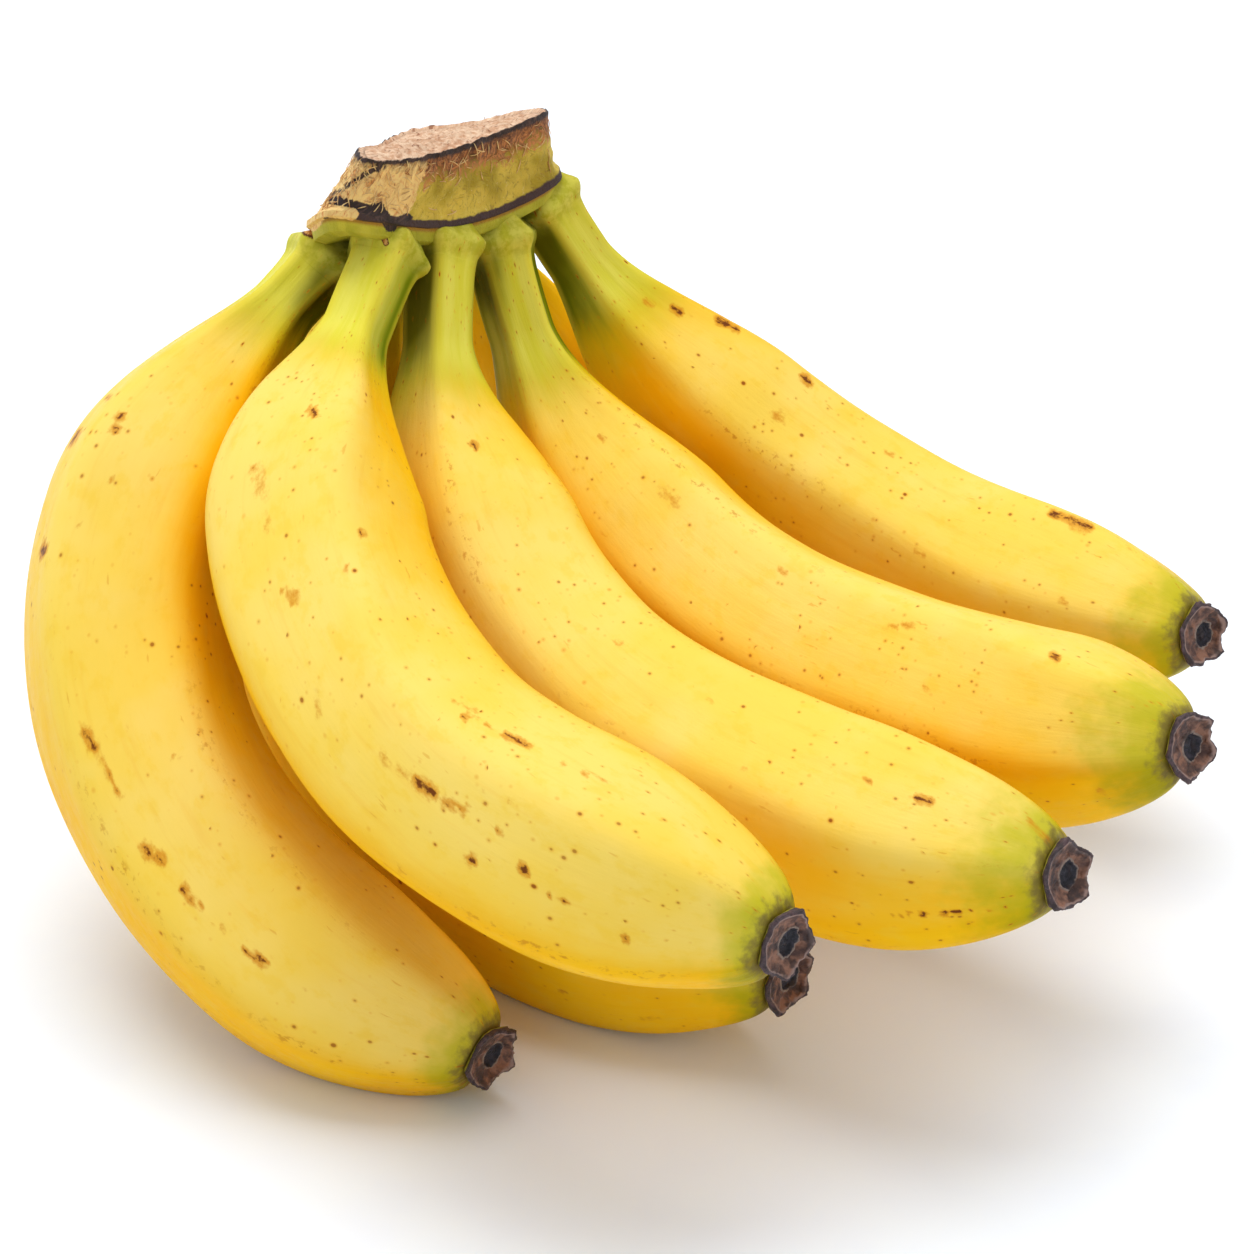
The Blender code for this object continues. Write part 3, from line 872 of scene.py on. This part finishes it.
def skin_attributes(finger, length, angle, places, outward):
    """Values that the skin's material reads at each point."""
    girth = finger.radius * 0.9
    along = length + PATTERN_SPACING * finger.index
    skin = np.stack([np.cos(angle) * girth, np.sin(angle) * girth, along], -1)
    bruised, husks = BRUISES.get(finger.name, []), NECK_HUSKS.get(finger.name, [])
    # Painted shade where other fingers close in
    painted_shade = crevice_shade(finger, places, outward)
    return {
        "skin": skin.reshape(-1, 3),
        "place": places,
        "from_root": length.ravel(),
        "ridge": finger.ridge(angle, length).ravel(),
        # Painted light: skin facing the light direction is painted paler, less where other fingers
        # would shade it
        "painted_light": finger.facing(angle, length).reshape(-1, 3) @ PAINTED_LIGHT_SIDE - SHELTER_SHARE * painted_shade,
        "painted_shade": painted_shade,
        "past_green": (length - finger.green_neck).ravel(),
        "end_mm": (finger.body - length).ravel(),
        "tip_share": ((finger.body - length) / finger.green_tip).ravel(),
        "bruise": mark_strength(bruised, places, outward),
        "husk": mark_strength(husks, places, outward),
    }


def make_skin(name, finger, length, angle, reach, material):
    """Piece of a finger's skin, kept above the surface it lies on."""
    centre, _, across, side = finger.at(length[:, 0])
    outward = turned(across, side, angle)
    places = (centre[:, None] + outward * reach[..., None]).reshape(-1, 3)
    places[:, 2] = np.maximum(places[:, 2], 0.0)
    attributes = skin_attributes(finger, length, angle, places, outward.reshape(-1, 3))
    return make_tube(name, places, len(length), SIDES, material, attributes)


def make_banana(name, material):
    finger = Finger(name)
    t = np.linspace(0.0, 1.0, RINGS)
    spread = t - RING_CROWDING * np.sin(2 * math.pi * t)
    lengths = ROOT_END + (finger.body - ROOT_END) * spread
    length, angle = np.meshgrid(lengths, even_angles(SIDES), indexing="ij")
    reach = finger.reach(angle, length) + finger.relief(angle, length)
    return make_skin(name + "_skin", finger, length, angle, reach, material)


# Dried blossom ends

def rough(places, scale, seed):
    """Noise from -1 to 1 at each place, in millimetres."""
    moved = Vector((seed, seed, seed))
    return np.array([noise.fractal(Vector(p) * scale + moved, 0.6, 2.0, 3) for p in places])


# Half section of a dried end: height above the skin in millimetres, share of its radius
BLOSSOM_PROFILE = np.array([
    (-0.28, 0.88), (0.5, 0.95), (1.2, 0.99), (2.0, 1.01), (2.8, 1.05), (3.4, 1.04), (3.75, 0.99),
    (3.8, 0.93), (3.5, 0.87), (3.0, 0.78), (2.6, 0.68), (2.3, 0.58), (2.1, 0.49), (2.4, 0.44),
    (2.1, 0.40), (1.2, 0.34), (0.9, 0.24), (1.2, 0.12), (1.3, 0.02)])
BLOSSOM_RIM_POINT = 7
BLOSSOM_SIDES = 90
BLOSSOM_RINGS = 60
BLOSSOM_SHRINK = 0.94
PENTAGON_REACH = 0.81
PENTAGON_MEAN = 0.90
PENTAGON_SHARE = 0.75
FACE_LEAN = 0.37
FACE_FOLDS = 0.34
RIM_CURL = 0.50
BLOSSOM_ROUGHNESS = 0.34
SHOWN_SIDE = np.array([0.0, -0.87, 0.5])
PIT_SIDE = np.array([1.0, 0.6, -0.5])
PIT_OFFSET = 1.5


def blossom_reach(finger, turn, share):
    """Distance from the middle: a soft pentagon with slightly uneven sides."""
    fold = np.abs((turn / (2 * math.pi) * 5 + 0.5) % 1.0 - 0.5) * 2 * math.pi / 5
    corner = PENTAGON_REACH / np.cos(math.pi / 5 - fold) - PENTAGON_MEAN
    wave = 0.035 * np.cos(2 * turn + finger.index) + 0.02 * np.cos(7 * turn + 2 * finger.index)
    lobes = (PENTAGON_SHARE * corner + wave) * ease(share * share)[:, None]
    return BLOSSOM_RADIUS * BLOSSOM_SHRINK * share[:, None] * (1.0 + lobes)


def blossom_height(finger, turn, height, share, on_face):
    """Height above the skin, with folds on the face and a curled rim."""
    mid_face = ease(1.0 - abs(share - 0.66) * 4) * on_face
    folds = FACE_FOLDS * np.cos(9 * turn + 2 * finger.index) * mid_face[:, None]
    on_rim = ease(1.0 - abs(share - 0.98) * 6) * (height > 1.5)
    return height[:, None] + folds + RIM_CURL * np.cos(5 * turn) * on_rim[:, None]


def make_blossom_end(name, material):
    finger = Finger(name)
    centre, along, across, side = (v[0] for v in finger.at(finger.body + PIECE_GAP))
    t = np.linspace(0, len(BLOSSOM_PROFILE) - 1, BLOSSOM_RINGS)
    steps = np.arange(len(BLOSSOM_PROFILE))
    height = np.interp(t, steps, BLOSSOM_PROFILE[:, 0])
    share = np.interp(t, steps, BLOSSOM_PROFILE[:, 1])
    angle = np.broadcast_to(even_angles(BLOSSOM_SIDES), (BLOSSOM_RINGS, BLOSSOM_SIDES))
    turn = angle - finger.first_ridge
    on_face = ease((0.97 - share) * 6) * (t > BLOSSOM_RIM_POINT)
    reach = blossom_reach(finger, turn, share)
    up = blossom_height(finger, turn, height, share, on_face)
    off = PIT_OFFSET * ease((0.85 - share) * 2.5)[:, None] * on_face[:, None]
    low = unit(PIT_SIDE - along * (along @ PIT_SIDE))
    shown = unit(SHOWN_SIDE - along * (along @ SHOWN_SIDE))
    toward = np.cos(angle) * (across @ shown) + np.sin(angle) * (side @ shown)
    up = up * (1.0 - FACE_LEAN * (1.0 + toward * share[:, None]))
    out = across * np.cos(angle)[..., None] + side * np.sin(angle)[..., None]
    places = centre + along * up[..., None] + out * reach[..., None] + low * off[..., None]
    places = places.reshape(-1, 3)
    jitter = rough(places, 0.55, finger.index * 7.0)
    amount = BLOSSOM_ROUGHNESS * ease(height / 0.8)[:, None] * np.ones_like(angle)
    places = places + (out + along).reshape(-1, 3) * (jitter * amount.ravel())[:, None]
    local = places - centre
    skin = np.stack([local @ across, local @ side, local @ along + 30.0 * finger.index], -1)
    face = np.broadcast_to((t / t[-1])[:, None], angle.shape).ravel()
    new_name = name.replace("banana", "blossom_end") + "_dried"
    attributes = {"skin": skin, "face": face}
    return make_tube(new_name, places, BLOSSOM_RINGS, BLOSSOM_SIDES, material, attributes)


# Crown

def closed_loop(points, count):
    """Even points on a rounded loop through the given corners."""
    corners = np.array(points, float) - BUNCH_MIDDLE
    size = len(corners)
    place = np.arange(count) * size / count
    k = place.astype(int)
    t = (place - k)[:, None]
    p0, p1, p2, p3 = (corners[(k + j - 1) % size] for j in range(4))
    spot = 2 * p1 + (p2 - p0) * t + (2 * p0 - 5 * p1 + 4 * p2 - p3) * t * t
    return (spot + (3 * p1 - p0 - 3 * p2 + p3) * t ** 3) / 2


def scaled_loop(loop, share, rise):
    middle = loop.mean(0)
    return middle + (loop - middle) * share + np.array([0, 0, rise])


def crown_levels():
    """Loops from the underside to the cut face, and the height of each."""
    low = closed_loop(CROWN_RIM_BELOW, CROWN_SIDES)
    high = closed_loop(CROWN_RIM_ABOVE, CROWN_SIDES)
    rows = [(scaled_loop(low, share, rise), height) for height, share, rise in CROWN_SKIRT]
    for height, share in CROWN_WALL:
        rows.append((scaled_loop(low + (high - low) * height, share, 0.0), height))
    return rows + [(scaled_loop(high, share, rise), height) for height, share, rise in CROWN_FACE]


def crown_grid():
    """Rings of the crown with even steps between its rows, and the height of each."""
    rows = crown_levels()
    loops, heights = [], []
    for (a, low), (b, high) in zip(rows, rows[1:]):
        for t in np.arange(CROWN_STEPS) / CROWN_STEPS:
            loops.append(a + (b - a) * t)
            heights.append(low + (high - low) * t)
    loops.append(rows[-1][0])
    heights.append(rows[-1][1])
    return np.array(loops), np.array(heights)


def crown_relief(places, outward, around, height):
    """Fibres on the wall, grain on the cut face and an uneven rim."""
    on_wall = ease((height + 0.05) * 8) * ease((1.06 - height) * 12)
    on_face = ease((height - FACE_START) * 5)
    fibre = rough(np.stack([around, height * 3.0, height * 0], -1), 0.55, 3.0)
    coarse = rough(places, 0.16, 9.0)
    grain = rough(places, 0.6, 5.0)
    push = on_wall * (WALL_FIBRE_RELIEF * fibre + WALL_COARSE_RELIEF * coarse)
    places = places + outward * push[:, None]
    places[:, 2] += on_face * (FACE_GRAIN_RELIEF * grain + FACE_COARSE_RELIEF * coarse)
    rim = np.exp(-((height - 1.0) / 0.04) ** 2)
    places[:, 2] += rim * RIM_UNEVENNESS * rough(places, 0.35, 14.0)
    return places


def make_crown(material):
    loops, heights = crown_grid()
    outward = unit(loops - loops.mean(axis=(0, 1))).reshape(-1, 3)
    turns = np.arange(CROWN_SIDES) / CROWN_SIDES * WALL_AROUND
    around = np.tile(turns, len(heights))
    height = np.repeat(heights, CROWN_SIDES)
    places = crown_relief(loops.reshape(-1, 3), outward, around, height)
    turn = around / WALL_RADIUS
    on_wall = np.stack([np.cos(turn) * WALL_RADIUS, np.sin(turn) * WALL_RADIUS, places[:, 2]], -1)
    attributes = {
        "skin": np.where(height[:, None] > FACE_START, places, on_wall),
        "height": height,
        "dried": mark_strength(CROWN_DRIED, places, outward),
        "burns": mark_strength(CROWN_BURNS, places, outward),
        "husk": mark_strength(CROWN_HUSK, places, outward),
    }
    return make_tube("crown_block", places, len(heights), CROWN_SIDES, material, attributes)


def fibre_line(start, normal, draw):
    """Bent line of one loose fibre lying on the crown's wall."""
    across = unit(np.cross(normal, draw.normal(size=3)))
    length = draw.uniform(*FIBRE_LENGTHS)
    bend = draw.uniform(-FIBRE_BEND, FIBRE_BEND)
    t = np.linspace(0.0, 1.0, FIBRE_RINGS)[:, None]
    sideways = np.cross(normal, across) * bend * t * t
    return start + across * (t - 0.5) * length + sideways + normal * FIBRE_LIFT * np.sin(math.pi * t)


def fibre_rings(line):
    """Thin tapered tube round a fibre's line."""
    along = unit(np.gradient(line, axis=0))
    across = unit(np.cross(along, np.array([0.3, 0.5, 0.8])))
    side = np.cross(along, across)
    t = np.linspace(0.06, 0.94, FIBRE_RINGS)
    radius = FIBRE_RADIUS * np.sqrt(np.sin(math.pi * t))
    outward = turned(across, side, even_angles(FIBRE_SIDES))
    return (line[:, None] + outward * radius[:, None, None]).reshape(-1, 3)


def make_crown_fibres(crown, material):
    """Loose dry fibres, most of them where the crown's wall has dried."""
    count = len(crown.data.vertices)
    heights, dried = np.zeros(count), np.zeros(count)
    crown.data.attributes["height"].data.foreach_get("value", heights)
    crown.data.attributes["dried"].data.foreach_get("value", dried)
    lowest, highest = FIBRE_HEIGHTS
    weight = FIBRE_FEW + FIBRE_MANY * (dried + (heights > FIBRE_MANY_FROM))
    weight = weight * (heights > lowest) * (heights < highest)
    draw = np.random.default_rng(FIBRE_SEED)
    picked = draw.choice(count, FIBRE_COUNT, replace=False, p=weight / weight.sum())
    places, faces, caps = [], [], []
    per_fibre = FIBRE_RINGS * FIBRE_SIDES
    for k, index in enumerate(picked):
        vertex = crown.data.vertices[int(index)]
        line = fibre_line(np.array(vertex.co) / MM, np.array(vertex.normal), draw)
        places.append(fibre_rings(line))
        faces.append(ring_faces(FIBRE_RINGS, FIBRE_SIDES, k * per_fibre))
        caps += end_caps(FIBRE_RINGS, FIBRE_SIDES, k * per_fibre)
    places = np.concatenate(places)
    return make_mesh("crown_fibres", places, np.concatenate(faces), caps, material, {"skin": places})


def make_neck_root(name, material):
    """Green root of a neck between the crown and its banana."""
    finger = Finger(name)
    lengths = np.linspace(-ROOT_DEPTH, ROOT_END + ROOT_TUCK, ROOT_RINGS)
    length, angle = np.meshgrid(lengths, even_angles(SIDES), indexing="ij")
    narrow = 1.0 - ROOT_NARROWING * ease((1.0 - length) / ROOT_TAPER)
    collar = COLLAR_HEIGHT * np.sin(math.pi * ease((length + 1.0) / (ROOT_END + 1.0))) ** 2
    tucked = ROOT_TUCK_DEPTH * (length > ROOT_END + ROOT_TUCK / 2)
    reach = finger.reach(angle, length) * narrow + collar - tucked
    return make_skin(name.replace("banana", "neck_root"), finger, length, angle, reach, material)


# Camera, floor and lights

def make_camera():
    back = camera_axes()[2]
    data = bpy.data.cameras.new("camera")
    data.sensor_width = SENSOR_WIDTH
    data.lens = CAMERA_LENS
    item = add_object("camera", data)
    item.location = (np.array(CAMERA_AIM) + back * CAMERA_DISTANCE) * MM
    item.rotation_euler = (math.radians(90.0 - CAMERA_HEIGHT_ANGLE), 0.0, 0.0)
    bpy.context.scene.camera = item


def make_floor():
    line = np.linspace(-FLOOR_HALF, FLOOR_HALF, FLOOR_LINES)
    x, y = np.meshgrid(line, line)
    places = np.stack([x.ravel(), y.ravel(), np.zeros(x.size)], -1)
    corner = np.arange(FLOOR_LINES * (FLOOR_LINES - 1)).reshape(-1, FLOOR_LINES)[:, :-1].ravel()
    faces = np.stack([corner, corner + 1, corner + FLOOR_LINES + 1, corner + FLOOR_LINES], -1)
    make_mesh("pale_floor", places, faces, [], floor_material(), {})


def make_sun(name, direction, spread, strength, colour):
    """Broad soft light from a direction; spread in degrees."""
    data = bpy.data.lights.new(name, "SUN")
    data.angle = math.radians(spread)
    data.energy = strength
    data.color = colour
    item = add_object(name, data)
    item.rotation_euler = (-Vector(direction)).to_track_quat("-Z", "Y").to_euler()


def make_world():
    """White studio round the bunch, dimmer towards the right."""
    world = bpy.data.worlds.new("studio")
    world.use_nodes = True
    nodes, links = world.node_tree.nodes, world.node_tree.links
    direction = nodes.new("ShaderNodeTexCoord").outputs["Generated"]
    facing = nodes.new("ShaderNodeVectorMath")
    facing.operation = "DOT_PRODUCT"
    links.new(direction, facing.inputs[0])
    facing.inputs[1].default_value = WORLD_BRIGHT_SIDE
    fade = nodes.new("ShaderNodeMapRange")
    links.new(facing.outputs["Value"], fade.inputs["Value"])
    fade.inputs["From Min"].default_value = -1.0
    fade.inputs["To Min"].default_value = WORLD_DIM
    fade.inputs["To Max"].default_value = WORLD_BRIGHT
    links.new(fade.outputs["Result"], nodes["Background"].inputs["Strength"])
    nodes["Background"].inputs["Color"].default_value = WORLD_COLOUR
    bpy.context.scene.world = world


def make_lights():
    make_sun("key", KEY_FROM, KEY_SPREAD, KEY_STRENGTH, KEY_COLOUR)
    make_sun("side", SIDE_FROM, SIDE_SPREAD, SIDE_STRENGTH, SIDE_COLOUR)
    make_world()
    bpy.context.scene.view_settings.view_transform = "Standard"
    bpy.context.scene.view_settings.look = "None"


def dress(piece, node):
    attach(piece, "root")
    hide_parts(node)


def main():
    make_camera()
    skin = skin_material("banana_skin")
    dried = blossom_material()
    bark = crown_material()
    for name in FINGERS:
        dress(make_banana(name, skin), name)
        dress(make_blossom_end(name, dried), name.replace("banana", "blossom_end"))
        dress(make_neck_root(name, skin), "crown")
    crown = make_crown(bark)
    dress(crown, "crown")
    dress(make_crown_fibres(crown, fibre_material()), "crown")
    make_floor()
    make_lights()
    bpy.context.view_layer.update()


main()
